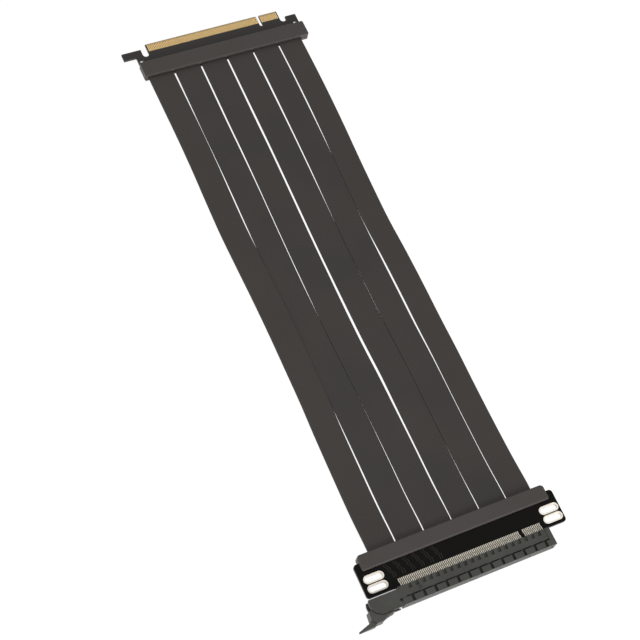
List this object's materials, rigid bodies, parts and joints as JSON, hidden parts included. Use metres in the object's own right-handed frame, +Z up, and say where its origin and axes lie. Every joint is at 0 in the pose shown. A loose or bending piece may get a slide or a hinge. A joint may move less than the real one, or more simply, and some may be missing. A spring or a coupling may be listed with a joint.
{
  "type": "gpu riser cable",
  "caption": "Flat riser cable with a card edge board at one end, side-by-side shielded ribbons, and a card socket with a retention latch at the other.",
  "frame": {"origin": "middle of the footprint, on the table the cable lies on", "axes": "+Y from the card socket towards the card edge board, +Z up from the table, +X towards the key end of both connectors"},
  "size_m": [0.1282, 0.371, 0.0075],
  "materials": {
    "board_laminate": "glass-epoxy board under gloss black solder mask",
    "potting": "moulded bar that pots the soldered wires, matt dark grey",
    "cover_plastic": "moulded cover, fine satin texture, warm dark grey",
    "socket_plastic": "glass-filled moulded socket housing, satin dark grey",
    "latch_plastic": "moulded latch, satin dark grey",
    "ribbon_jacket": "ribbed shielded flat cable jacket, satin black"
  },
  "bodies": {
    "cable": {"plug_board": "board_laminate", "plug_inner_mould": "potting", "plug_cover_top": "cover_plastic", "plug_cover_bottom": "cover_plastic", "socket_board": "board_laminate", "socket_inner_mould": "potting", "socket_cover_top": "cover_plastic", "socket_cover_bottom": "cover_plastic", "socket_housing": "socket_plastic", "ribbon_1": "ribbon_jacket", "ribbon_2": "ribbon_jacket", "ribbon_3": "ribbon_jacket", "ribbon_4": "ribbon_jacket", "ribbon_5": "ribbon_jacket", "ribbon_6": "ribbon_jacket"},
    "latch": {"socket_latch": "latch_plastic"}
  },
  "joints": [
    {"name": "latch_hinge", "type": "hinge", "parent": "cable", "child": "latch", "pos_m": [-0.04825, -0.17485, 0.00375], "axis": [0, 0, -1], "range_deg": [0, 20]}
  ]
}
